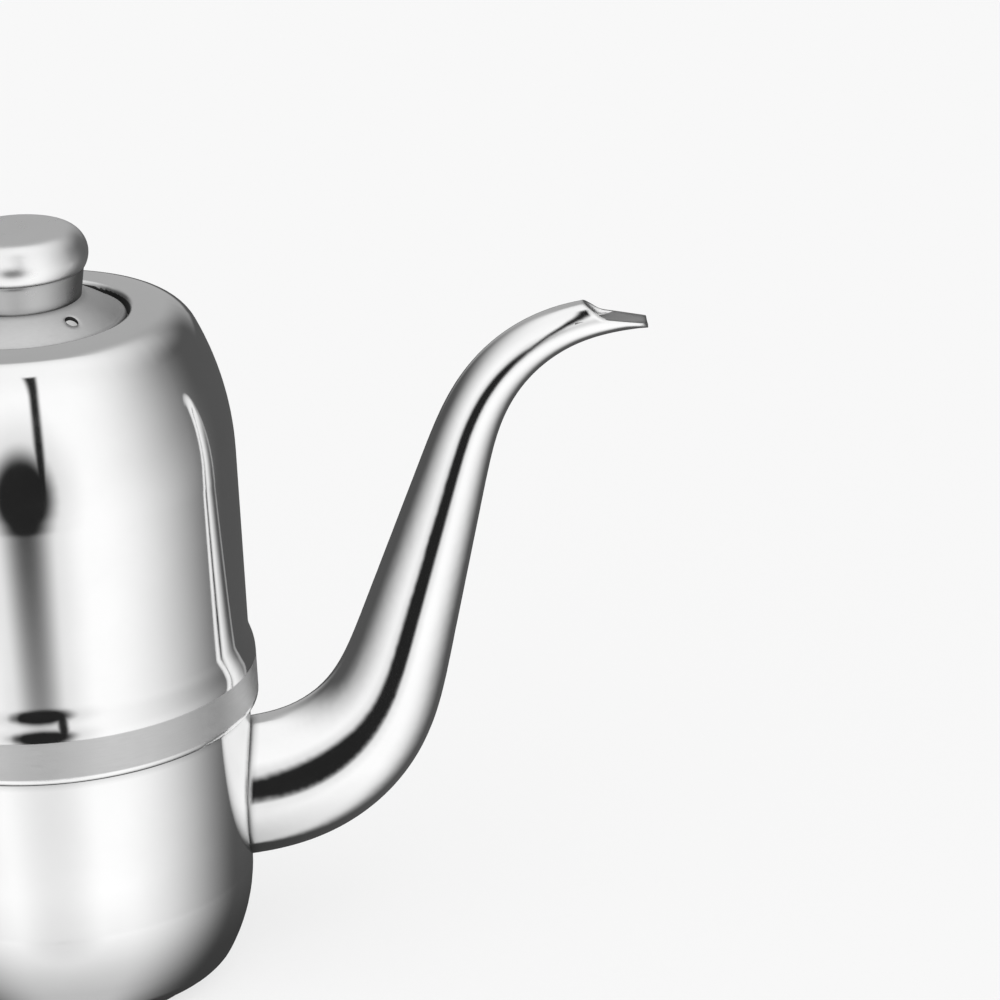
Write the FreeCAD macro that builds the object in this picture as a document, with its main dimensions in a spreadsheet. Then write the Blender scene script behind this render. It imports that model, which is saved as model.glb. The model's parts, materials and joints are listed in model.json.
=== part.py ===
import FreeCAD, Part
import Sketcher
import math
import os
import re

# Gooseneck kettle in polished steel, in millimetres, +Z up.
# The origin is the centre of the flat base. The spout points along +X and the handle along -X.

SIZES = {
    # Upper shell: shoulder, barrel and flared band
    "body_radius": 50.5,
    "wall": 0.8,
    "body_height": 179.7,
    "shoulder_height": 39.7,
    "shoulder_corner": 11.5,
    "mouth_radius": 26.9,
    "mouth_edge": 1.2,
    "mouth_land": 4.7,
    "mouth_lip_depth": 7.0,
    "flare_top": 94.0,
    "flare_height": 8.2,
    "band_height": 11.3,
    "band_step": 1.5,
    "band_curl": 1.4,
    "band_lip_gap": 0.3,
    # Lower cup and sandwich base
    "cup_overlap": 8.0,
    "cup_waist_inset": 0.7,
    "cup_taper": 2.2,
    "cup_foot_height": 30.5,
    "cup_corner": 48.0,
    "cup_floor_corner": 8.0,
    "base_thickness": 3.2,
    "base_inset": 1.1,
    "base_skin": 0.8,
    "base_edge": 1.6,
    # Lid seat
    "seat_depth": 4.4,
    "seat_ledge": 2.9,
    "seat_collar": 7.0,
    # Lid
    "lid_gap": 0.9,
    "lid_rest_gap": 0.3,
    "lid_dome": 42.0,
    "lid_sink": 1.25,
    "lid_edge": 1.0,
    "skirt_gap": 0.4,
    "skirt_depth": 8.0,
    "vent_diameter": 3.0,
    "vent_inset": 2.8,
    "vent_angle": -53.0,
    # Knob
    "knob_wall": 1.2,
    "collar_foot_radius": 15.3,
    "collar_flare": 1.2,
    "collar_height": 7.7,
    "knob_overhang": 1.3,
    "knob_side_radius": 6.5,
    "knob_drop": 3.3,
    "knob_crown": 98.0,
    "boss_radius": 4.5,
    "boss_height": 9.0,
    "screw_radius": 2.0,
    "screw_clearance": 0.15,
    "screw_grip": 6.0,
    "screw_head_radius": 3.8,
    "screw_head_height": 2.4,
    "washer_radius": 6.0,
    "washer_thickness": 1.0,
    # Spout
    "spout_wall": 0.8,
    "root_drop": 8.9,
    "spout_lower_bend": 38.6,
    "spout_lean": 18.5,
    "spout_upper_bend": 39.7,
    "spout_lip_level": 166.9,
    "lip_run": 9.8,
    "root_height": 37.0,
    "root_depth": 26.0,
    "root_ease": 1.75,
    "neck_foot_diameter": 27.1,
    "neck_head_diameter": 15.6,
    "lip_diameter": 8.8,
    "lip_ease": 1.3,
    "spout_blend": 18.0,
    "beak_run": 11.6,
    "beak_lip_rise": 1.9,
    "beak_slope": 11.5,
    "beak_steep": 40.0,
    "beak_scoop": 6.0,
    # Handle
    "grip_width": 19.0,
    "grip_depth": 10.0,
    "grip_corner": 3.8,
    "grip_wall": 1.0,
    "grip_drop": 16.0,
    "grip_bottom_level": 43.0,
    "grip_top_offset": 51.5,
    "grip_bottom_offset": 41.5,
    "grip_top_bend": 25.0,
    "grip_bottom_bend": 30.0,
    "pad_thickness": 1.6,
    "pad_width": 25.0,
    "pad_height": 23.0,
    "pad_corner": 6.0,
    "tang_length": 17.0,
    "tang_gap": 0.4,
    "pin_radius": 1.6,
    "pin_clearance": 0.15,
    "pin_head_radius": 3.0,
    "pin_head_height": 1.4,
    "pin_setback": 9.0,
}

# Values worked out from the sizes above
FORMULAS = {
    "shell_inner_radius": "body_radius - wall",
    "shoulder_start": "body_height - shoulder_height",
    "corner_level": "body_height - shoulder_corner",
    "corner_axis": "mouth_radius + mouth_edge + mouth_land",
    "shoulder_radius": "((body_radius - corner_axis)^2 + (corner_level - shoulder_start)^2 - shoulder_corner^2)"
                       " / (2 * (body_radius - corner_axis - shoulder_corner))",
    "shoulder_axis": "body_radius - shoulder_radius",
    "shoulder_angle": "atan2(corner_level - shoulder_start; corner_axis - shoulder_axis)",
    "band_radius": "body_radius + band_step",
    "flare_bottom": "flare_top - flare_height",
    "band_bottom": "flare_bottom - band_height",
    "flare_step": "band_step / 2",
    "flare_half": "flare_height / 2",
    "flare_radius": "(flare_half^2 + flare_step^2) / (2 * flare_step)",
    "flare_angle": "asin(flare_half / flare_radius)",
    "cup_waist_radius": "body_radius - cup_waist_inset",
    "cup_foot_radius": "cup_waist_radius - cup_taper",
    "cup_rim_level": "flare_top + cup_overlap",
    "cup_corner_axis": "cup_foot_radius - cup_corner",
    "floor_corner_level": "base_thickness + cup_floor_corner",
    "floor_corner_axis": "cup_corner_axis + sqrt((cup_corner - cup_floor_corner)^2"
                         " - (cup_foot_height - floor_corner_level)^2)",
    "floor_angle": "atan2(cup_foot_height - floor_corner_level; floor_corner_axis - cup_corner_axis)",
    "base_radius": "floor_corner_axis - base_inset",
    "seat_level": "body_height - seat_depth",
    "seat_radius": "mouth_radius - seat_ledge",
    "lid_radius": "mouth_radius - lid_gap",
    "lid_floor": "seat_level + lid_rest_gap",
    "lid_dome_level": "body_height - lid_sink - sqrt(lid_dome^2 - (lid_radius - lid_edge)^2)",
    "lid_crown_height": "lid_dome_level + sqrt(lid_dome^2 - collar_foot_radius^2)",
    "skirt_radius": "seat_radius - skirt_gap",
    "vent_offset": "skirt_radius - wall - vent_inset",
    "collar_head_radius": "collar_foot_radius + collar_flare",
    "collar_top": "lid_crown_height + collar_height",
    "knob_radius": "collar_head_radius + knob_overhang",
    "knob_side_axis": "knob_radius - knob_side_radius",
    "knob_equator": "collar_top + knob_drop",
    "knob_crown_level": "knob_equator - sqrt((knob_crown - knob_side_radius)^2 - knob_side_axis^2)",
    "knob_top": "knob_crown_level + knob_crown",
    "knob_angle": "atan2(knob_equator - knob_crown_level; knob_side_axis)",
    "spout_root_level": "band_bottom - root_drop - root_height / 2",
    "spout_foot_x": "cup_waist_radius + spout_lower_bend * cos(spout_lean)",
    "spout_foot_z": "spout_root_level + spout_lower_bend * (1 - sin(spout_lean))",
    "spout_head_z": "spout_lip_level - spout_upper_bend * (1 - sin(spout_lean))",
    "spout_head_x": "spout_foot_x + (spout_head_z - spout_foot_z) * tan(spout_lean)",
    "spout_lip_x": "spout_head_x + spout_upper_bend * cos(spout_lean)",
    "spout_reach": "spout_lip_x + lip_run",
    "beak_tip_z": "spout_lip_level - lip_diameter / 2 + beak_lip_rise",
    "beak_bend_x": "spout_reach - beak_run",
    "beak_bend_z": "beak_tip_z + beak_run * tan(beak_slope)",
    "beak_tangent": "beak_scoop * tan((beak_steep - beak_slope) / 2)",
    "tang_height": "grip_depth - 2 * grip_wall - 2 * tang_gap",
    "tang_width": "grip_width - 2 * grip_corner",
    "grip_top_level": "shoulder_start - grip_drop",
    "grip_top_reach": "body_radius + grip_top_offset",
    "grip_bottom_reach": "body_radius + grip_bottom_offset",
    "grip_slope": "atan2(grip_top_reach - grip_bottom_reach; grip_top_level - grip_bottom_level)",
    "grip_top_run": "grip_top_bend * tan((90 deg + grip_slope) / 2)",
    "grip_bottom_run": "grip_bottom_bend * tan((90 deg - grip_slope) / 2)",
}

doc = FreeCAD.newDocument("gooseneck_kettle")
dims = doc.addObject("Spreadsheet::Sheet", "dims")
for row, (name, value) in enumerate(SIZES.items(), start=1):
    dims.set(f"A{row}", name)
    dims.set(f"B{row}", str(value))
    dims.setAlias(f"B{row}", name)
for row, (name, formula) in enumerate(FORMULAS.items(), start=len(SIZES) + 1):
    dims.set(f"A{row}", name)
    dims.set(f"B{row}", f"={formula}")
    dims.setAlias(f"B{row}", name)
doc.recompute()

SHEET_NAMES = {**SIZES, **FORMULAS}
UP = FreeCAD.Vector(0, 0, 1)
# Spacing of the points along the spout's middle line, and the number of sections drawn on it
SPOUT_STEP = 0.5
SPOUT_SECTIONS = 28


def cell(name):
    """Value of one cell of the sheet, as a plain number."""
    value = getattr(dims, name)
    return float(getattr(value, "Value", value))


def bound(text):
    """Expression for other objects, with every cell name pointing at the sheet."""
    return re.sub("[a-z_]+", lambda word: "dims." * (word.group() in SHEET_NAMES) + word.group(), text)


def worth(text):
    """Number that an expression comes to."""
    value = dims.evalExpression(bound(text))
    return float(getattr(value, "Value", value))


def bind(target, **expressions):
    """Tie an object's properties to the sheet."""
    for name, text in expressions.items():
        target.setExpression(name.replace("__", "."), bound(text))


def new_body(label):
    body = doc.addObject("PartDesign::Body", label)
    body.Label = label
    return body


def plane_of(body, role):
    return next(item for item in body.Origin.OriginFeatures if item.Role == role)


def new_sketch(body, name, role):
    sketch = body.newObject("Sketcher::SketchObject", name)
    sketch.AttachmentSupport = (plane_of(body, role), "")
    sketch.MapMode = "FlatFace"
    return sketch


def arc_between(start, end, radius, turn):
    """Arc from start to end. A turn of +1 runs counter-clockwise and -1 clockwise."""
    chord = end - start
    across = FreeCAD.Vector(-chord.y, chord.x, 0).normalize()
    rise = math.sqrt(max(radius ** 2 - (chord.Length / 2) ** 2, 0))
    centre = (start + end) / 2 + across * (rise * turn)
    first, last = (start, end) if turn > 0 else (end, start)
    angles = [math.atan2(point.y - centre.y, point.x - centre.x) for point in (first, last)]
    return Part.ArcOfCircle(Part.Circle(centre, UP, radius), angles[0], angles[1])


def trace(sketch, corners, closed=True):
    """Draw an outline. Each corner is (x, y) for a line to the next one, or (x, y, radius, turn)."""
    spots = [FreeCAD.Vector(worth(corner[0]), worth(corner[1]), 0) for corner in corners]
    count = len(corners) if closed else len(corners) - 1
    ends = []
    for index in range(count):
        corner = corners[index]
        start = spots[index]
        end = spots[(index + 1) % len(spots)]
        if len(corner) == 2:
            number = sketch.addGeometry(Part.LineSegment(start, end), False)
            ends.append((number, 1, 2))
            continue
        radius = worth(corner[2])
        number = sketch.addGeometry(arc_between(start, end, radius, corner[3]), False)
        ends.append((number, 1, 2) if corner[3] > 0 else (number, 2, 1))
        tie = sketch.addConstraint(Sketcher.Constraint("Radius", number, radius))
        sketch.setExpression(f"Constraints[{tie}]", bound(corner[2]))
    for index, (number, first, last) in enumerate(ends):
        if closed or index < count - 1:
            following = ends[(index + 1) % count]
            sketch.addConstraint(Sketcher.Constraint("Coincident", number, last, following[0], following[1]))
        pin_point(sketch, number, first, corners[index], spots[index])
    if not closed:
        pin_point(sketch, ends[-1][0], ends[-1][2], corners[-1], spots[-1])


def pin_point(sketch, number, end, corner, spot):
    """Hold one end of a sketch line at its two coordinates."""
    for kind, text, value in (("DistanceX", corner[0], spot.x), ("DistanceY", corner[1], spot.y)):
        tie = sketch.addConstraint(Sketcher.Constraint(kind, -1, 1, number, end, value))
        sketch.setExpression(f"Constraints[{tie}]", bound(text))


def turned(label, corners):
    """Solid of revolution about Z from an outline of (radius, height) corners."""
    body = new_body(label)
    sketch = new_sketch(body, f"{label}_outline", "XZ_Plane")
    trace(sketch, corners)
    solid = body.newObject("PartDesign::Revolution", f"{label}_turn")
    solid.Profile = sketch
    solid.ReferenceAxis = (sketch, ["V_Axis"])
    solid.Angle = 360
    return body


def rod(name, radius, height, x="0", y="0", z="0"):
    """Upright cylinder."""
    item = doc.addObject("Part::Cylinder", name)
    bind(item, Radius=radius, Height=height)
    bind(item, Placement__Base__x=x, Placement__Base__y=y, Placement__Base__z=z)
    return item


def block(name, length, width, height, x, y, z):
    item = doc.addObject("Part::Box", name)
    bind(item, Length=length, Width=width, Height=height)
    bind(item, Placement__Base__x=x, Placement__Base__y=y, Placement__Base__z=z)
    return item


def cut(label, base, *tools):
    """Base less each of the tools."""
    result = base
    for number, tool in enumerate(tools, start=1):
        item = doc.addObject("Part::Cut", label if number == len(tools) else f"{label}_cut_{number}")
        item.Base = result
        item.Tool = tool
        result = item
    return result


def joined(kind, label, first, second):
    """Union or intersection of two solids."""
    item = doc.addObject(kind, label)
    item.Base = first
    item.Tool = second
    item.Label = label
    return item


def upper_shell():
    """Shoulder, barrel and flared band, with the mouth's edge turned down and the band's edge curled in."""
    shoulder_tip = ("shoulder_axis + {0} * cos(shoulder_angle)", "shoulder_start + {0} * sin(shoulder_angle)")
    outer, inner = "shoulder_radius", "(shoulder_radius - wall)"
    knee = "flare_radius + wall"
    return turned("upper_shell", [
        ("mouth_radius", "body_height - mouth_lip_depth"),
        ("mouth_radius", "body_height - mouth_edge", "mouth_edge", -1),
        ("mouth_radius + mouth_edge", "body_height"),
        ("corner_axis", "body_height", "shoulder_corner", -1),
        (shoulder_tip[0].format(outer), shoulder_tip[1].format(outer), "shoulder_radius", -1),
        ("body_radius", "shoulder_start"),
        ("body_radius", "flare_top", "flare_radius", 1),
        ("body_radius + flare_step", "flare_top - flare_half", "flare_radius", -1),
        ("band_radius", "flare_bottom"),
        ("band_radius", "band_bottom + band_curl", "band_curl", -1),
        ("band_radius - band_curl", "band_bottom"),
        ("cup_waist_radius + band_lip_gap", "band_bottom"),
        ("cup_waist_radius + band_lip_gap", "band_bottom + wall"),
        ("band_radius - band_curl", "band_bottom + wall", "band_curl - wall", 1),
        ("band_radius - wall", "band_bottom + band_curl"),
        ("band_radius - wall", "flare_bottom", "flare_radius - wall", 1),
        ("body_radius + flare_step - wall * cos(flare_angle)",
         "flare_top - flare_half - wall * sin(flare_angle)", knee, -1),
        ("shell_inner_radius", "flare_top"),
        ("shell_inner_radius", "shoulder_start", "shoulder_radius - wall", 1),
        (shoulder_tip[0].format(inner), shoulder_tip[1].format(inner), "shoulder_corner - wall", 1),
        ("corner_axis", "body_height - wall"),
        ("mouth_radius + mouth_edge", "body_height - wall", "mouth_edge - wall", 1),
        ("mouth_radius + wall", "body_height - mouth_edge"),
        ("mouth_radius + wall", "body_height - mouth_lip_depth"),
    ])


def cup_side(inset):
    """Outline of the cup from its rim down to its flat floor, moved in by the given amount."""
    return [
        (f"shell_inner_radius - {inset}", "cup_rim_level"),
        (f"shell_inner_radius - {inset}", "flare_bottom"),
        (f"cup_waist_radius - {inset}", "band_bottom"),
        (f"cup_foot_radius - {inset}", "cup_foot_height", f"cup_corner - {inset}", -1),
        (f"cup_corner_axis + (cup_corner - {inset}) * cos(floor_angle)",
         f"cup_foot_height - (cup_corner - {inset}) * sin(floor_angle)", f"cup_floor_corner - {inset}", -1),
        ("floor_corner_axis", f"base_thickness + {inset}"),
    ]


def cup_envelope():
    """Space filled by the cup with its contents, used to trim what stands against it."""
    return turned("cup_envelope", [("0", "cup_rim_level")] + cup_side("0") + [("0", "base_thickness")])


def lower_cup(bore):
    """Drawn cup with a rounded foot, open to the spout."""
    inside = [(corner[0], corner[1]) for corner in cup_side("wall")]
    inside_arcs = [("cup_floor_corner - wall", 1), ("cup_corner - wall", 1)]
    climb = [
        ("0", "base_thickness + wall"),
        inside[5] + inside_arcs[0],
        inside[4] + inside_arcs[1],
        inside[3],
        inside[2],
        inside[1],
        inside[0],
    ]
    blank = turned("lower_cup_blank", cup_side("0") + [("0", "base_thickness")] + climb)
    return cut("lower_cup", blank, bore)


def base_pieces():
    """Heat-spreading disc and the steel skin that wraps it under the cup."""
    core = rod("base_core", "base_radius - base_skin", "base_thickness - base_skin", z="base_skin")
    skin = turned("base_cap", [
        ("0", "0"),
        ("base_radius - base_edge", "0", "base_edge", 1),
        ("base_radius", "base_edge"),
        ("base_radius", "base_thickness"),
        ("base_radius - base_skin", "base_thickness"),
        ("base_radius - base_skin", "base_skin"),
        ("0", "base_skin"),
    ])
    return core, skin


def lid_seat():
    """Stepped ring inside the mouth: a ledge for the lid and a collar for its skirt."""
    return turned("lid_seat", [
        ("mouth_radius", "seat_level"),
        ("seat_radius", "seat_level"),
        ("seat_radius", "seat_level - seat_collar"),
        ("seat_radius + wall", "seat_level - seat_collar"),
        ("seat_radius + wall", "seat_level - wall"),
        ("mouth_radius", "seat_level - wall"),
    ])


def dome_height(radius, inset):
    """Height of the lid's dome at a radius."""
    return f"lid_dome_level + sqrt((lid_dome - {inset})^2 - ({radius})^2)"


def lid_cover():
    """Domed disc with a flat seat for the knob, a rounded edge, a screw hole and a steam vent."""
    shoulder = "lid_radius - lid_edge"
    under = "collar_foot_radius - wall"
    blank = turned("lid_blank", [
        ("screw_radius + screw_clearance", "lid_crown_height"),
        ("collar_foot_radius", "lid_crown_height", "lid_dome", -1),
        (shoulder, dome_height(shoulder, "0"), "lid_edge", -1),
        ("lid_radius", dome_height(shoulder, "0") + " - lid_edge"),
        ("lid_radius", "lid_floor"),
        ("lid_radius - wall", "lid_floor"),
        ("lid_radius - wall", dome_height("lid_radius - wall", "wall"), "lid_dome - wall", 1),
        (under, dome_height(under, "wall")),
        (under, "lid_crown_height - wall"),
        ("screw_radius + screw_clearance", "lid_crown_height - wall"),
    ])
    vent = rod("vent_drill", "vent_diameter / 2", "lid_crown_height", "vent_offset * cos(vent_angle)",
               "vent_offset * sin(vent_angle)", "seat_level")
    return cut("lid_cover", blank, vent)


def lid_skirt():
    """Locating ring under the lid, inside the seat's collar."""
    inner = "skirt_radius - wall"
    return turned("lid_skirt", [
        ("skirt_radius", dome_height("skirt_radius", "wall"), "lid_dome - wall", 1),
        (inner, dome_height(inner, "wall")),
        (inner, "seat_level - skirt_depth"),
        ("skirt_radius", "seat_level - skirt_depth"),
    ])


def knob_pieces():
    """Hollow bulb on a tapered collar, with a threaded boss, a washer and a screw from below the lid."""
    hole = "screw_radius + screw_clearance"
    foot = "lid_crown_height"
    side = "knob_side_axis + {0} * cos(knob_angle)"
    side_level = "knob_equator + {0} * sin(knob_angle)"
    outer, inner = "knob_side_radius", "(knob_side_radius - knob_wall)"
    lower = "knob_side_axis + sqrt({0}^2 - knob_drop^2)"
    bulb = turned("knob_bulb", [
        ("0", "knob_top", "knob_crown", -1),
        (side.format(outer), side_level.format(outer), "knob_side_radius", -1),
        (lower.format(outer), "collar_top"),
        (lower.format(inner), "collar_top", "knob_side_radius - knob_wall", 1),
        (side.format(inner), side_level.format(inner), "knob_crown - knob_wall", 1),
        ("0", "knob_top - knob_wall"),
    ])
    collar = turned("knob_collar", [
        (hole, foot),
        ("collar_foot_radius", foot),
        ("collar_head_radius", "collar_top"),
        ("collar_head_radius - 2 * knob_wall", "collar_top"),
        ("collar_foot_radius - 2 * knob_wall", f"{foot} + knob_wall"),
        (hole, f"{foot} + knob_wall"),
    ])
    boss_level = f"{foot} + knob_wall"
    boss = cut("knob_boss", rod("boss_blank", "boss_radius", "boss_height", z=boss_level),
               rod("boss_thread", hole, "screw_grip + screw_clearance", z=boss_level))
    washer_level = f"{foot} - wall - washer_thickness"
    washer = cut("knob_washer", rod("washer_blank", "washer_radius", "washer_thickness", z=washer_level),
                 rod("washer_hole", hole, "washer_thickness", z=washer_level))
    shank = rod("screw_shank", "screw_radius", "washer_thickness + wall + knob_wall + screw_grip",
                z=washer_level)
    head = rod("screw_head", "screw_head_radius", "screw_head_height", z=f"{washer_level} - screw_head_height")
    screw = joined("Part::Fuse", "knob_screw", shank, head)
    return bulb, collar, boss, washer, screw


def spout_places():
    """Points close together along the spout: (x, z, half height, half depth), before they are eased."""
    turn = math.radians(90 - cell("spout_lean"))
    lower, upper = cell("spout_lower_bend"), cell("spout_upper_bend")
    start_x, start_z = cell("cup_waist_radius"), cell("spout_root_level")
    foot_x, foot_z = cell("spout_foot_x"), cell("spout_foot_z")
    head_x, head_z = cell("spout_head_x"), cell("spout_head_z")
    lip_x, lip_z = cell("spout_lip_x"), cell("spout_lip_level")
    high, deep = cell("root_height") / 2, cell("root_depth") / 2
    foot, head, lip = (cell(name) / 2 for name in ("neck_foot_diameter", "neck_head_diameter", "lip_diameter"))
    places = []
    for share in shares(deep):
        places.append((start_x - deep * (1 - share), start_z, high, deep))
    for share in shares(lower * turn):
        angle = turn * share
        ease = share ** cell("root_ease")
        places.append((start_x + lower * math.sin(angle), start_z + lower * (1 - math.cos(angle)),
                       high + (foot - high) * ease, deep + (foot - deep) * ease))
    for share in shares(math.hypot(head_x - foot_x, head_z - foot_z)):
        size = foot + (head - foot) * share
        places.append((foot_x + (head_x - foot_x) * share, foot_z + (head_z - foot_z) * share, size, size))
    for share in shares(upper * turn):
        angle = turn * (1 - share)
        size = head + (lip - head) * share ** cell("lip_ease")
        places.append((lip_x - upper * math.sin(angle), lip_z - upper * (1 - math.cos(angle)), size, size))
    for share in shares(cell("lip_run")):
        places.append((lip_x + cell("lip_run") * share, lip_z, lip, lip))
    places.append((cell("spout_reach"), lip_z, lip, lip))
    return places


def shares(length):
    """Even shares of a stretch, up to but not including its end."""
    count = max(2, round(length / SPOUT_STEP))
    return [step / count for step in range(count)]


def eased(places):
    """The same points, each moved to the middle of its neighbours, so that the bends run together."""
    reach = round(cell("spout_blend") / SPOUT_STEP / 2)
    last = len(places) - 1
    result = []
    for index in range(len(places)):
        near = min(reach, index, last - index)
        group = places[index - near:index + near + 1]
        result.append(tuple(sum(values) / len(group) for values in zip(*group)))
    return result


def spout_stations():
    """Sections of the spout: (x, z, direction above level in radians, half height, half depth)."""
    places = eased(eased(spout_places()))
    last = len(places) - 1
    stations = []
    for number in range(SPOUT_SECTIONS):
        index = round(last * number / (SPOUT_SECTIONS - 1))
        before, after = places[max(index - 1, 0)], places[min(index + 1, last)]
        angle = math.atan2(after[1] - before[1], after[0] - before[0])
        x, z, half_height, half_depth = places[index]
        stations.append((x, z, angle, half_height, half_depth))
    return stations


def ring_wire(station, inset):
    """Oval section square to the spout's direction, from four quarter arcs."""
    x, z, angle, half_height, half_depth = station
    quarters = [Part.makeCircle(1, FreeCAD.Vector(), UP, start, start + 90) for start in range(0, 360, 90)]
    along = FreeCAD.Vector(math.cos(angle), 0, math.sin(angle))
    rise = FreeCAD.Vector(-math.sin(angle), 0, math.cos(angle)) * (half_height - inset)
    side = FreeCAD.Vector(0, -1, 0) * (half_depth - inset)
    frame = FreeCAD.Matrix(side.x, rise.x, along.x, x, side.y, rise.y, along.y, 0,
                           side.z, rise.z, along.z, z, 0, 0, 0, 1)
    return Part.Wire(quarters).transformGeometry(frame)


def spout_loft(name, inset):
    """Solid through every section of the spout, moved in by the given amount."""
    item = doc.addObject("Part::Feature", name)
    item.Shape = Part.makeLoft([ring_wire(station, inset) for station in spout_stations()], True, False)
    return item


def beak_cutter():
    """Everything above the pouring lip: a steep cut through the tube's top that bends out to the lip."""
    body = new_body("beak_cutter")
    sketch = new_sketch(body, "beak_outline", "XZ_Plane")
    over_z = "spout_lip_level + lip_diameter"
    past_x = "spout_reach + lip_diameter"
    trace(sketch, [
        (f"beak_bend_x - ({over_z} - beak_bend_z) / tan(beak_steep)", over_z),
        ("beak_bend_x - beak_tangent * cos(beak_steep)", "beak_bend_z + beak_tangent * sin(beak_steep)",
         "beak_scoop", 1),
        ("beak_bend_x + beak_tangent * cos(beak_slope)", "beak_bend_z - beak_tangent * sin(beak_slope)"),
        (past_x, "beak_tip_z - lip_diameter * tan(beak_slope)"),
        (past_x, over_z),
    ])
    pad = body.newObject("PartDesign::Pad", "beak_block")
    pad.Profile = sketch
    pad.Midplane = True
    bind(pad, Length="3 * lip_diameter")
    return body


def tip_cutter():
    """What lies outside the lip's tongue, which is rounded in plan to the tube's own radius."""
    middle = "spout_reach - lip_diameter / 2"
    floor = "spout_lip_level - lip_diameter"
    corner = block("tip_block", "lip_diameter", "2 * lip_diameter", "2 * lip_diameter",
                   middle, "0 - lip_diameter", floor)
    tongue = rod("tip_tongue", "lip_diameter / 2", "2 * lip_diameter", middle, "0", floor)
    return cut("tip_cutter", corner, tongue)


def spout(envelope, bore):
    """Gooseneck tube, trimmed to the cup's side and cut to a pouring beak."""
    return cut("spout", spout_loft("spout_outer", 0), bore, envelope, beak_cutter(), tip_cutter())


def grip_section(sketch, side):
    """Half of the grip's hollow section: a channel with rounded corners, open at the middle of the grip."""
    half, deep = "grip_width / 2", f"{side} * grip_depth / 2"
    corner_deep = f"{side} * ( grip_depth / 2 - grip_corner )"
    thin_deep = f"{side} * ( grip_depth / 2 - grip_wall )"
    trace(sketch, [
        (f"0 - {half}", "0"),
        (f"0 - {half}", corner_deep, "grip_corner", -side),
        (f"grip_corner - {half}", deep),
        (f"{half} - grip_corner", deep, "grip_corner", -side),
        (half, corner_deep),
        (half, "0"),
        (f"{half} - grip_wall", "0"),
        (f"{half} - grip_wall", corner_deep, "grip_corner - grip_wall", side),
        (f"{half} - grip_corner", thin_deep),
        (f"grip_corner - {half}", thin_deep, "grip_corner - grip_wall", side),
        (f"grip_wall - {half}", corner_deep),
        (f"grip_wall - {half}", "0"),
    ])


def grip_path(sketch):
    """Middle line of the grip: out from the barrel, down, and back to the cup."""
    trace(sketch, [
        ("wall - body_radius", "grip_top_level"),
        ("grip_top_run - grip_top_reach", "grip_top_level", "grip_top_bend", 1),
        ("grip_top_run * sin(grip_slope) - grip_top_reach", "grip_top_level - grip_top_run * cos(grip_slope)"),
        ("0 - grip_bottom_reach - grip_bottom_run * sin(grip_slope)",
         "grip_bottom_level + grip_bottom_run * cos(grip_slope)", "grip_bottom_bend", 1),
        ("grip_bottom_run - grip_bottom_reach", "grip_bottom_level"),
        ("wall - cup_foot_radius", "grip_bottom_level"),
    ], closed=False)


def grip_half(label, side):
    """One pressed half of the hollow grip, swept along its middle line."""
    body = new_body(label)
    path = new_sketch(body, f"{label}_path", "XZ_Plane")
    grip_path(path)
    section = new_sketch(body, f"{label}_section", "YZ_Plane")
    bind(section, AttachmentOffset__Base__y="grip_top_level", AttachmentOffset__Base__z="wall - body_radius")
    grip_section(section, side)
    pipe = body.newObject("PartDesign::AdditivePipe", f"{label}_sweep")
    pipe.Profile = section
    pipe.Spine = path
    return body


def pad_blank(name, level):
    """Upright slab with rounded corners that a pad is cut from, on the handle's side."""
    body = new_body(name)
    sketch = new_sketch(body, f"{name}_outline", "YZ_Plane")
    bind(sketch, AttachmentOffset__Base__z="0 - 3 * body_radius / 2")
    left, right = "0 - pad_width / 2", "pad_width / 2"
    low, high = f"{level} - pad_height / 2", f"{level} + pad_height / 2"
    trace(sketch, [
        (f"{left} + pad_corner", low),
        (f"{right} - pad_corner", low, "pad_corner", 1),
        (right, f"{low} + pad_corner"),
        (right, f"{high} - pad_corner", "pad_corner", 1),
        (f"{right} - pad_corner", high),
        (f"{left} + pad_corner", high, "pad_corner", 1),
        (left, f"{high} - pad_corner"),
        (left, f"{low} + pad_corner", "pad_corner", 1),
    ])
    slab = body.newObject("PartDesign::Pad", f"{name}_pad")
    slab.Profile = sketch
    bind(slab, Length="body_radius")
    return body


def tang(name, level, face):
    """Flat tongue that the hollow grip slides over."""
    return block(name, "tang_length + pad_thickness", "tang_width", "tang_height",
                 f"0 - {face} - tang_length", "0 - tang_width / 2", f"{level} - tang_height / 2")


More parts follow.
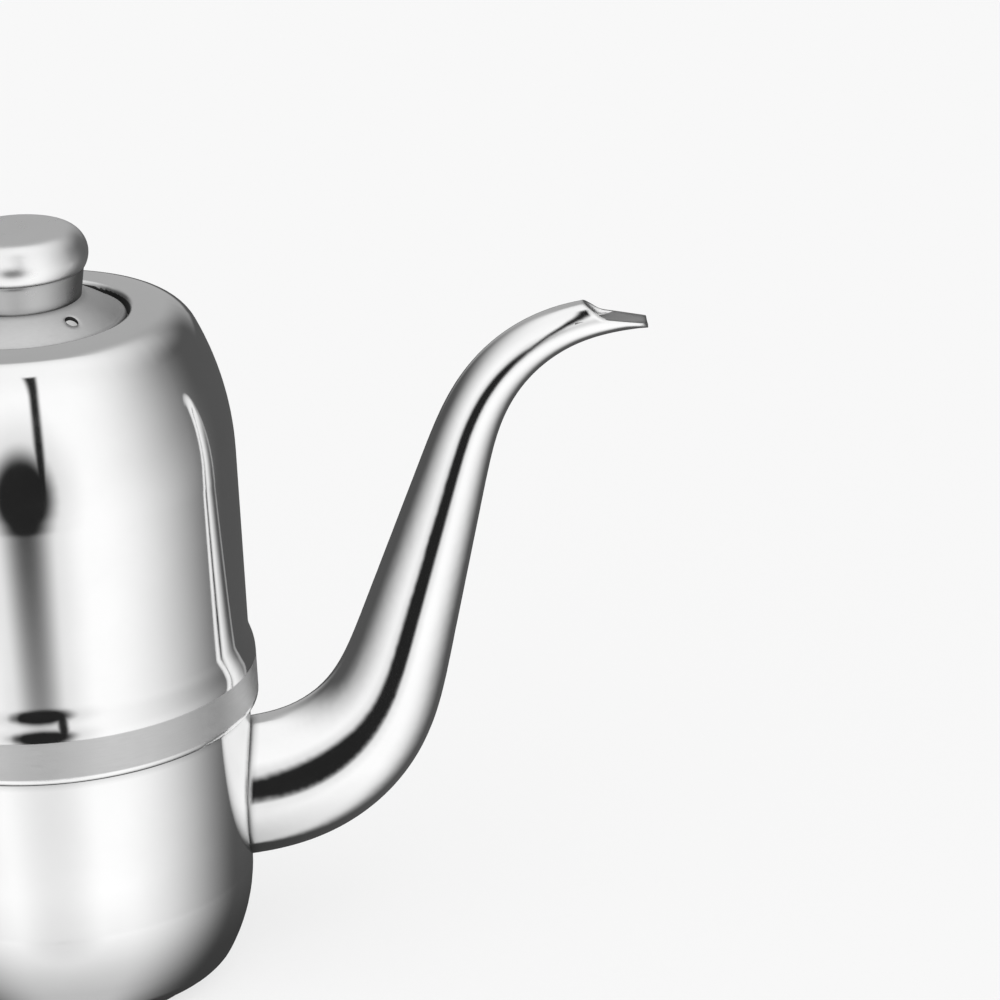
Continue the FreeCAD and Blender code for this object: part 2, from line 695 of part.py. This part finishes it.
def handle_pieces(envelope):
    """Brackets on the barrel and the cup, the two halves of the grip, and the two pins from below."""
    barrel_height = "shoulder_start - flare_top"
    barrel = rod("barrel_side", "body_radius", barrel_height, z="flare_top")
    barrel_face = rod("barrel_face", "body_radius + pad_thickness", barrel_height, z="flare_top")
    cup_face = doc.addObject("Part::Cone", "cup_face")
    bind(cup_face, Radius1="cup_foot_radius + pad_thickness", Radius2="cup_waist_radius + pad_thickness",
         Height="band_bottom - cup_foot_height", Placement__Base__z="cup_foot_height")
    pieces = []
    plans = (("upper", barrel, barrel_face, "grip_top_level", "body_radius"),
             ("lower", envelope, cup_face, "grip_bottom_level", "cup_waist_radius"))
    halves = {"grip_outer": grip_half("grip_outer_sweep", 1), "grip_inner": grip_half("grip_inner_sweep", -1)}
    drills = {}
    for name, wall_side, face, level, radius in plans:
        pad = joined("Part::Common", f"{name}_pad", pad_blank(f"{name}_slab", level), face)
        plate = joined("Part::Fuse", f"{name}_plate", pad, tang(f"{name}_tang", level, radius))
        pin_x = f"0 - {radius} - pad_thickness - pin_setback"
        foot = f"{level} - grip_depth / 2"
        inside = "grip_depth - 2 * grip_wall"
        drill = rod(f"{name}_drill", "pin_radius + pin_clearance", inside, pin_x, "0", foot)
        drills[name] = drill
        pieces.append(cut(f"{name}_bracket", plate, wall_side, drill))
        shank = rod(f"{name}_shank", "pin_radius", f"{inside} - pin_clearance", pin_x, "0", foot)
        under = f"{foot} - pin_head_height"
        head = rod(f"{name}_head", "pin_head_radius", "pin_head_height", pin_x, "0", under)
        pieces.append(joined("Part::Fuse", f"{name}_pin", shank, head))
    pieces.append(cut("grip_outer", halves["grip_outer"], barrel_face, cup_face, drills["lower"]))
    pieces.append(cut("grip_inner", halves["grip_inner"], barrel_face, cup_face, drills["upper"]))
    return pieces


bore = spout_loft("spout_bore", cell("spout_wall"))
envelope = cup_envelope()
nodes = [upper_shell(), lower_cup(bore), *base_pieces(), lid_seat(), spout(envelope, bore)]
nodes += handle_pieces(envelope)
nodes += [lid_cover(), lid_skirt(), *knob_pieces()]
doc.recompute()

for item in doc.Objects:
    if "Invalid" in item.State or "Error" in item.State:
        raise RuntimeError(f"{item.Label} failed: {item.State}")
os.makedirs("parts", exist_ok=True)
for node in nodes:
    if node.Shape.isNull() or not node.Shape.isValid():
        raise RuntimeError(f"{node.Label} has no valid shape")
    node.Shape.exportStep(f"parts/{node.Label}.step")
    print(node.Label, len(node.Shape.Solids), round(node.Shape.Volume, 1))
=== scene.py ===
import bpy
import json
import math
from mathutils import Matrix, Vector

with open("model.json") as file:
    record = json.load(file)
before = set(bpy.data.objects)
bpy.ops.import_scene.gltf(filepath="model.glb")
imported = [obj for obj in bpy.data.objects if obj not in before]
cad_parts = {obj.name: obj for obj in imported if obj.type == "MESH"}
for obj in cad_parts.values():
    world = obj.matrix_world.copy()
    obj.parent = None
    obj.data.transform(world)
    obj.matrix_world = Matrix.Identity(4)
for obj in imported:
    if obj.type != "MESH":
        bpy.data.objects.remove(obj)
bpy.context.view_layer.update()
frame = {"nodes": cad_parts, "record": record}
scene = bpy.context.scene

# Camera of the photograph
AIM_HEIGHT = 0.1195
CAMERA_DISTANCE = 1.2128
CAMERA_DOWN = math.radians(20.75)
CAMERA_YAW = math.radians(5.486)
CAMERA_ROLL = math.radians(4.944)
LENS = 172.8
SENSOR = 36.0


# Small helpers for shader nodes
def new_node(tree, kind, inputs=None, **settings):
    node = tree.nodes.new(kind)
    for name, value in settings.items():
        setattr(node, name, value)
    for name, value in (inputs or {}).items():
        if isinstance(value, bpy.types.NodeSocket):
            tree.links.new(value, node.inputs[name])
        else:
            node.inputs[name].default_value = value
    return node


def math_node(tree, operation, *values):
    return new_node(tree, "ShaderNodeMath", dict(enumerate(values)), operation=operation).outputs[0]


def vector_node(tree, operation, *values, output=0):
    node = new_node(tree, "ShaderNodeVectorMath", dict(enumerate(values)), operation=operation)
    return node.outputs[output]


def span(tree, value, start, end, low, high, smooth=False):
    kind = "SMOOTHSTEP" if smooth else "LINEAR"
    node = new_node(tree, "ShaderNodeMapRange", {"Value": value, "From Min": start, "From Max": end,
                                                 "To Min": low, "To Max": high}, interpolation_type=kind)
    return node.outputs["Result"]


def soft_step(tree, value, start, end):
    return span(tree, value, start, end, 0.0, 1.0, smooth=True)


def blend(tree, share, first, second):
    node = new_node(tree, "ShaderNodeMix", {"Factor": share, "A": first, "B": second}, data_type="FLOAT")
    return node.outputs["Result"]


def ramp(tree, value, stops):
    node = new_node(tree, "ShaderNodeValToRGB", {"Fac": value})
    elements = node.color_ramp.elements
    while len(elements) < len(stops):
        elements.new(0.5)
    for element, (place, tone) in zip(elements, stops):
        element.position = place
        element.color = (tone, tone, tone, 1.0)
    return node.outputs["Color"]


def grey(tone):
    return (tone, tone, tone, 1.0)


# Studio light by direction, in degrees: turn is measured from the front of the kettle to either side
WALL_BRIGHT = 1.10
WALL_DARK = 0.09
WALL_START = 25.0
WALL_END = 122.0
GROUND_BRIGHT = 1.12
GROUND_DARK = 0.09
GROUND_START = 30.0
GROUND_END = 130.0
GROUND_TOP = 2.0
GROUND_FULL = -21.0
CEILING_TONE = 1.04
CEILING_START = 12.0
CEILING_FULL = 78.0
# Grey backdrop behind the kettle
BACKDROP_SIDE = 142.0
BACKDROP_FULL = 172.0
BACKDROP_FOOT = -5.0
BACKDROP_TOP = 62.0
BACKDROP_SOFT = 6.0
BACKDROP_TONE = 0.43
# Dark gap between the light panels: an oval low in front, with a narrow slot that runs up from it
GAP_LEFT = 8.0
GAP_RISE = -7.0
GAP_WIDE = 17.0
GAP_TALL = 17.0
GAP_SOFT = 0.30
GAP_DIM = 0.75
GAP_REACH = 1.2
GAP_TONE = 0.018
SLOT_RIGHT = 3.5
SLOT_HALF = 2.6
SLOT_SOFT = 1.4
SLOT_TOP = 74.0
BACKGROUND = 0.94


def oval_distance(tree, azimuth, rise):
    """Distance from the rim of the dark oval, as a share of its half width, negative inside it."""
    across = math_node(tree, "DIVIDE", math_node(tree, "ADD", azimuth, GAP_LEFT), GAP_WIDE)
    up = math_node(tree, "DIVIDE", math_node(tree, "SUBTRACT", rise, GAP_RISE), GAP_TALL)
    offset = new_node(tree, "ShaderNodeCombineXYZ", {0: across, 1: up}).outputs[0]
    return math_node(tree, "SUBTRACT", vector_node(tree, "LENGTH", offset, output="Value"), 1.0)


def slot_distance(tree, azimuth, rise):
    """Degrees from the edge of the slot, negative inside it."""
    aside = math_node(tree, "ABSOLUTE", math_node(tree, "SUBTRACT", azimuth, SLOT_RIGHT))
    narrowing = math_node(tree, "COSINE", math_node(tree, "RADIANS", rise))
    beside = math_node(tree, "SUBTRACT", math_node(tree, "MULTIPLY", aside, narrowing), SLOT_HALF)
    below = math_node(tree, "SUBTRACT", GAP_RISE, rise)
    above = math_node(tree, "SUBTRACT", rise, SLOT_TOP)
    return math_node(tree, "MAXIMUM", beside, math_node(tree, "MAXIMUM", below, above))


def studio_tone(tree, direction):
    parts = new_node(tree, "ShaderNodeSeparateXYZ", {0: direction}).outputs
    front = math_node(tree, "MULTIPLY", parts["Y"], -1.0)
    azimuth = math_node(tree, "DEGREES", math_node(tree, "ARCTAN2", parts["X"], front))
    rise = math_node(tree, "DEGREES", math_node(tree, "ARCSINE", parts["Z"]))
    turn = math_node(tree, "ABSOLUTE", azimuth)
    wall = span(tree, turn, WALL_START, WALL_END, WALL_BRIGHT, WALL_DARK, smooth=True)
    ground = span(tree, turn, GROUND_START, GROUND_END, GROUND_BRIGHT, GROUND_DARK, smooth=True)
    side = blend(tree, soft_step(tree, rise, GROUND_TOP, GROUND_FULL), wall, ground)
    high = soft_step(tree, rise, CEILING_START, CEILING_FULL)
    tone = blend(tree, high, side, CEILING_TONE)
    upright = math_node(tree, "MULTIPLY", soft_step(tree, rise, BACKDROP_FOOT, BACKDROP_FOOT + BACKDROP_SOFT),
                        soft_step(tree, rise, BACKDROP_TOP, BACKDROP_TOP - BACKDROP_SOFT))
    behind = math_node(tree, "MULTIPLY", soft_step(tree, turn, BACKDROP_SIDE, BACKDROP_FULL), upright)
    tone = blend(tree, behind, tone, BACKDROP_TONE)
    away = oval_distance(tree, azimuth, rise)
    dim = span(tree, away, 0.0, GAP_REACH, GAP_DIM, 1.0, smooth=True)
    outside = soft_step(tree, away, -GAP_SOFT, GAP_SOFT)
    beside = soft_step(tree, slot_distance(tree, azimuth, rise), -SLOT_SOFT, SLOT_SOFT)
    open_share = math_node(tree, "MINIMUM", outside, beside)
    return blend(tree, open_share, GAP_TONE, math_node(tree, "MULTIPLY", tone, dim))


def build_world():
    world = bpy.data.worlds.new("studio")
    scene.world = world
    world.use_nodes = True
    tree = world.node_tree
    tree.nodes.clear()
    direction = new_node(tree, "ShaderNodeTexCoord").outputs["Generated"]
    camera_ray = new_node(tree, "ShaderNodeLightPath").outputs["Is Camera Ray"]
    light = new_node(tree, "ShaderNodeBackground", {"Color": studio_tone(tree, direction), "Strength": 1.0})
    plain = new_node(tree, "ShaderNodeBackground", {"Color": grey(BACKGROUND), "Strength": 1.0})
    chosen = new_node(tree, "ShaderNodeMixShader", {0: camera_ray, 1: light.outputs[0], 2: plain.outputs[0]})
    new_node(tree, "ShaderNodeOutputWorld", {"Surface": chosen.outputs[0]})


# Pale floor with the kettle's shadow; steel mirrors the studio's ground through it, dimmed near the base by
# painted shade
FLOOR_SIZE = 6.0
FLOOR_COLOUR = 0.25
FLOOR_GLOW = 0.72
NEAR_BASE_SHADE = [(0.05, 0.50), (0.075, 0.75), (0.10, 0.92), (0.12, 1.0)]


def build_floor():
    bpy.ops.mesh.primitive_plane_add(size=FLOOR_SIZE)
    floor = bpy.context.object
    floor.name = "floor"
    material = bpy.data.materials.new("floor_paper")
    material.use_nodes = True
    tree = material.node_tree
    tree.nodes.clear()
    place = new_node(tree, "ShaderNodeTexCoord").outputs["Object"]
    reach = vector_node(tree, "LENGTH", place, output="Value")
    glossy_ray = new_node(tree, "ShaderNodeLightPath").outputs["Is Glossy Ray"]
    lit = new_node(tree, "ShaderNodeBsdfDiffuse", {"Color": grey(FLOOR_COLOUR)})
    glow = new_node(tree, "ShaderNodeEmission", {"Color": grey(1.0), "Strength": FLOOR_GLOW})
    paper = new_node(tree, "ShaderNodeAddShader", {0: lit.outputs[0], 1: glow.outputs[0]})
    # Painted shade: the ground seen through the floor is darker near the base
    film = new_node(tree, "ShaderNodeBsdfTransparent", {"Color": ramp(tree, reach, NEAR_BASE_SHADE)})
    chosen = new_node(tree, "ShaderNodeMixShader", {0: glossy_ray, 1: paper.outputs[0], 2: film.outputs[0]})
    new_node(tree, "ShaderNodeOutputMaterial", {"Surface": chosen.outputs[0]})
    floor.data.materials.append(material)


# Soft lamp from above and behind the camera, for the floor and its shadow
LAMP_STRENGTH = 0.5
LAMP_SOFTNESS = math.radians(40)
LAMP_FROM = Vector((0.45, -0.6, 1.0))


def build_lamp():
    data = bpy.data.lights.new("soft_lamp", "SUN")
    data.energy = LAMP_STRENGTH
    data.angle = LAMP_SOFTNESS
    lamp = bpy.data.objects.new("soft_lamp", data)
    lamp.rotation_euler = LAMP_FROM.to_track_quat("Z", "Y").to_euler()
    lamp.visible_glossy = False
    scene.collection.objects.link(lamp)


def build_camera():
    ahead = Vector((0.0, math.cos(CAMERA_DOWN), -math.sin(CAMERA_DOWN)))
    over = Vector((0.0, math.sin(CAMERA_DOWN), math.cos(CAMERA_DOWN)))
    side = Vector((1.0, 0.0, 0.0))
    place = Vector((0.0, 0.0, AIM_HEIGHT)) - CAMERA_DISTANCE * ahead
    view = ahead * math.cos(CAMERA_YAW) + side * math.sin(CAMERA_YAW)
    level = side * math.cos(CAMERA_YAW) - ahead * math.sin(CAMERA_YAW)
    right = level * math.cos(CAMERA_ROLL) - over * math.sin(CAMERA_ROLL)
    top = level * math.sin(CAMERA_ROLL) + over * math.cos(CAMERA_ROLL)
    data = bpy.data.cameras.new("photo_camera")
    data.lens = LENS
    data.sensor_width = SENSOR
    camera = bpy.data.objects.new("photo_camera", data)
    turn = Matrix((right, top, -view)).transposed()
    camera.matrix_world = Matrix.Translation(place) @ turn.to_4x4()
    scene.collection.objects.link(camera)
    scene.camera = camera


# Finishes in the kettle's own coordinates, with edges and facets evened out over a short reach
EVEN_REACH = 0.0018
EVEN_SAMPLES = 8
IN_PLAN = (1.0, 1.0, 0.0)
NOISE_DETAIL = 4.0
NOISE_ROUGHNESS = 0.55
NOISE_LOW = 0.3
NOISE_HIGH = 0.7
# Painted shade: base colour darkened in narrow gaps and in the closed body
GAP_SHADE_REACH = 0.0025
SATIN_SHADE_REACH = 0.006
INSIDE_SHADE_REACH = 0.12
GAP_SHADE_SAMPLES = 8


def start_material(name):
    material = bpy.data.materials.new(name)
    material.use_nodes = True
    tree = material.node_tree
    shader = tree.nodes["Principled BSDF"]
    shader.inputs["Metallic"].default_value = 1.0
    place = new_node(tree, "ShaderNodeTexCoord").outputs["Object"]
    return material, tree, shader, place


def noise(tree, place, scale, detail=NOISE_DETAIL):
    node = new_node(tree, "ShaderNodeTexNoise", {"Vector": place, "Scale": scale, "Detail": detail,
                                                 "Roughness": NOISE_ROUGHNESS})
    return node.outputs["Fac"]


def two_greys(tree, value, dark, light):
    return ramp(tree, value, [(NOISE_LOW, dark), (NOISE_HIGH, light)])


def plan_length(tree, place):
    flat = vector_node(tree, "MULTIPLY", place, IN_PLAN)
    return vector_node(tree, "LENGTH", flat, output="Value")


def add_finish_and_gap_shade(tree, shader, colour, rough, reach=GAP_SHADE_REACH):
    """Roughness, and a base colour with painted shade, darker in gaps narrower than the reach."""
    # The occlusion darkens the base colour: painted shade in gaps
    gaps = new_node(tree, "ShaderNodeAmbientOcclusion", {"Color": colour, "Distance": reach},
                    samples=GAP_SHADE_SAMPLES)
    tree.links.new(gaps.outputs["Color"], shader.inputs["Base Color"])
    tree.links.new(rough, shader.inputs["Roughness"])


def add_bump(tree, shader, height, strength, depth):
    even = new_node(tree, "ShaderNodeBevel", {"Radius": EVEN_REACH}, samples=EVEN_SAMPLES)
    bump = new_node(tree, "ShaderNodeBump", {"Height": height, "Strength": strength, "Distance": depth,
                                             "Normal": even.outputs["Normal"]})
    tree.links.new(bump.outputs["Normal"], shader.inputs["Normal"])


# Faces inside the body and on the beak's open tongue are rougher, and their colour is darkened as painted
# shade
BODY_MIDDLE = (0.0, 0.0, 0.09)
BEAK_START = 0.137
BEAK_LEVEL = 0.1668
BEAK_FACING = 0.25
INSIDE_SHADE_TONE = 0.25
INSIDE_ROUGHNESS = 0.40


def body_inside(tree, place):
    """1 on faces that look towards the middle of the body, 0 on the others."""
    normal = new_node(tree, "ShaderNodeNewGeometry").outputs["Normal"]
    outward = vector_node(tree, "SUBTRACT", place, BODY_MIDDLE)
    facing = vector_node(tree, "DOT_PRODUCT", normal, outward, output="Value")
    return math_node(tree, "LESS_THAN", facing, 0.0)


def beak_inside(tree, place):
    """1 on the upward face of the spout's open tongue, 0 elsewhere."""
    parts = new_node(tree, "ShaderNodeSeparateXYZ", {0: place}).outputs
    normal = new_node(tree, "ShaderNodeNewGeometry").outputs["Normal"]
    upward = new_node(tree, "ShaderNodeSeparateXYZ", {0: normal}).outputs["Z"]
    low = math_node(tree, "LESS_THAN", parts["Z"], BEAK_LEVEL)
    forward = math_node(tree, "GREATER_THAN", parts["X"], BEAK_START)
    facing = math_node(tree, "GREATER_THAN", upward, BEAK_FACING)
    return math_node(tree, "MULTIPLY", math_node(tree, "MULTIPLY", low, forward), facing)


def dull_and_shaded_inside(tree, inner, colour, rough, reach):
    """Colour, roughness and reach of the gaps' painted shade, changed where inner is 1 to a darker colour
    painted as shade, a rougher finish and the given reach.
    """
    # Painted shade: the inside colour is darker
    shaded_colour = blend(tree, inner, colour, INSIDE_SHADE_TONE)
    dull_rough = blend(tree, inner, rough, INSIDE_ROUGHNESS)
    return shaded_colour, dull_rough, blend(tree, inner, GAP_SHADE_REACH, reach)


# Polished steel: faint clouds, smudges and ripples
MIRROR_GREYS = (0.86, 0.90)
MIRROR_POLISH = (0.035, 0.075)
KNOB_POLISH = (0.26, 0.36)
COLLAR_GREYS = (0.42, 0.48)
CLOUD_SCALE = 38.0
SMUDGE_SCALE = 140.0
SMUDGE_DETAIL = 6.0
SMUDGE_HIGH = 0.75
RIPPLE_SCALE = 55.0
RIPPLE_DETAIL = 1.0
RIPPLE_STRENGTH = 0.012
RIPPLE_DEPTH = 0.0004


def clouds_and_smudges(tree, place, greys, polish):
    smudge = noise(tree, place, SMUDGE_SCALE, detail=SMUDGE_DETAIL)
    colour = two_greys(tree, noise(tree, place, CLOUD_SCALE), *greys)
    return colour, span(tree, smudge, NOISE_LOW, SMUDGE_HIGH, *polish)


def polished_steel(name="polished_steel", greys=MIRROR_GREYS, polish=MIRROR_POLISH,
                   hollow=None, hollow_reach=GAP_SHADE_REACH):
    material, tree, shader, place = start_material(name)
    colour, rough = clouds_and_smudges(tree, place, greys, polish)
    reach = GAP_SHADE_REACH
    if hollow:
        colour, rough, reach = dull_and_shaded_inside(tree, hollow(tree, place), colour, rough, hollow_reach)
    add_finish_and_gap_shade(tree, shader, colour, rough, reach)
    ripple = noise(tree, place, RIPPLE_SCALE, detail=RIPPLE_DETAIL)
    add_bump(tree, shader, ripple, RIPPLE_STRENGTH, RIPPLE_DEPTH)
    return material


# Brushed lines run round the kettle's axis
LINE_STRETCH = 0.004
LINE_DETAIL = 3.0
LINE_DEPTH = 0.0001


def brushed_lines(tree, place, scale):
    parts = new_node(tree, "ShaderNodeSeparateXYZ", {0: place}).outputs
    turn = math_node(tree, "ARCTAN2", parts["Y"], parts["X"])
    along = math_node(tree, "MULTIPLY", turn, LINE_STRETCH)
    across = plan_length(tree, place)
    rings = new_node(tree, "ShaderNodeCombineXYZ", {0: along, 1: across, 2: parts["Z"]}).outputs[0]
    return noise(tree, rings, scale, detail=LINE_DETAIL)


# The rolled band round the shell is left dull between its two bright edges
BAND_LOW = 0.0762
BAND_HIGH = 0.0862
BAND_EDGE = 0.0003
BAND_GREYS = (0.56, 0.62)
BAND_POLISH = (0.38, 0.52)
BAND_LINES = 2600.0
BAND_STRENGTH = 0.10


def banded_steel():
    material, tree, shader, place = start_material("banded_steel")
    height = new_node(tree, "ShaderNodeSeparateXYZ", {0: place}).outputs["Z"]
    band = math_node(tree, "MULTIPLY", span(tree, height, BAND_LOW, BAND_LOW + BAND_EDGE, 0.0, 1.0),
                     span(tree, height, BAND_HIGH - BAND_EDGE, BAND_HIGH, 1.0, 0.0))
    lines = brushed_lines(tree, place, BAND_LINES)
    bright, clear = clouds_and_smudges(tree, place, MIRROR_GREYS, MIRROR_POLISH)
    flat = two_greys(tree, noise(tree, place, CLOUD_SCALE), *BAND_GREYS)
    brushed = span(tree, lines, NOISE_LOW, NOISE_HIGH, *BAND_POLISH)
    outer_colour = blend(tree, band, bright, flat)
    outer_rough = blend(tree, band, clear, brushed)
    inner = body_inside(tree, place)
    add_finish_and_gap_shade(tree, shader, *dull_and_shaded_inside(tree, inner, outer_colour, outer_rough, INSIDE_SHADE_REACH))
    add_bump(tree, shader, math_node(tree, "MULTIPLY", lines, band), BAND_STRENGTH, LINE_DEPTH)
    return material


# Satin steel; the lid is a darker one, with its steam vent painted near-black as shade
SATIN_GREYS = (0.70, 0.78)
SATIN_POLISH = (0.36, 0.50)
SATIN_LINES = 3200.0
SATIN_CLOUDS = 60.0
SATIN_STRENGTH = 0.12
LID_GREYS = (0.60, 0.67)
VENT_PLACE = (0.01204, -0.01597, 0.0)
VENT_RADIUS = 0.0016
VENT_SHADE_TONE = 0.04


def vent_wall(tree, place):
    """1 in the lid's steam vent, 0 on the rest of the lid."""
    aside = plan_length(tree, vector_node(tree, "SUBTRACT", place, VENT_PLACE))
    return math_node(tree, "LESS_THAN", aside, VENT_RADIUS)


def satin_steel(name="satin_steel", greys=SATIN_GREYS, reach=SATIN_SHADE_REACH, vented=False):
    material, tree, shader, place = start_material(name)
    lines = brushed_lines(tree, place, SATIN_LINES)
    colour = two_greys(tree, noise(tree, place, SATIN_CLOUDS), *greys)
    if vented:
        # Painted shade: the vent is coloured near-black
        colour = blend(tree, vent_wall(tree, place), colour, VENT_SHADE_TONE)
    add_finish_and_gap_shade(tree, shader, colour, span(tree, lines, NOISE_LOW, NOISE_HIGH, *SATIN_POLISH), reach)
    add_bump(tree, shader, lines, SATIN_STRENGTH, LINE_DEPTH)
    return material


# Plain metals with a fine grain
FASTENER = {"clouds": 400.0, "greys": (0.60, 0.72), "grain": 1500.0, "detail": 2.0,
            "polish": (0.18, 0.34), "strength": 0.15, "depth": 0.0001}
ALUMINIUM = {"clouds": 70.0, "greys": (0.68, 0.78), "grain": 900.0, "detail": 3.0,
             "polish": (0.35, 0.50), "strength": 0.20, "depth": 0.0002}


def grained_metal(name, clouds, greys, grain, detail, polish, strength, depth):
    material, tree, shader, place = start_material(name)
    specks = noise(tree, place, grain, detail=detail)
    colour = two_greys(tree, noise(tree, place, clouds), *greys)
    add_finish_and_gap_shade(tree, shader, colour, span(tree, specks, NOISE_LOW, NOISE_HIGH, *polish))
    add_bump(tree, shader, specks, strength, depth)
    return material


def dress_nodes():
    """Each node gets its slot's finish or its own; only the spout is mirrored in the other pieces."""
    by_slot = {"polished_steel": polished_steel(), "satin_steel": satin_steel(),
               "fastener_steel": grained_metal("fastener_steel", **FASTENER),
               "base_aluminium": grained_metal("base_aluminium", **ALUMINIUM)}
    own = {"upper_shell": banded_steel(),
           "lower_cup": polished_steel("cup_steel", hollow=body_inside, hollow_reach=INSIDE_SHADE_REACH),
           "spout": polished_steel("spout_steel", hollow=beak_inside),
           "knob_bulb": polished_steel("knob_steel", polish=KNOB_POLISH),
           "knob_collar": polished_steel("collar_steel", greys=COLLAR_GREYS, polish=KNOB_POLISH),
           "lid_cover": satin_steel("lid_steel", greys=LID_GREYS, reach=GAP_SHADE_REACH, vented=True)}
    for subpart in frame["record"]["subparts"]:
        piece = frame["nodes"][subpart["node"]]
        finish = own.get(subpart["node"], by_slot[subpart["material_slot"]])
        for slot in piece.material_slots:
            slot.material = finish
        piece.visible_glossy = subpart["node"] == "spout"


scene.view_settings.view_transform = "Standard"
build_camera()
build_world()
build_floor()
build_lamp()
dress_nodes()
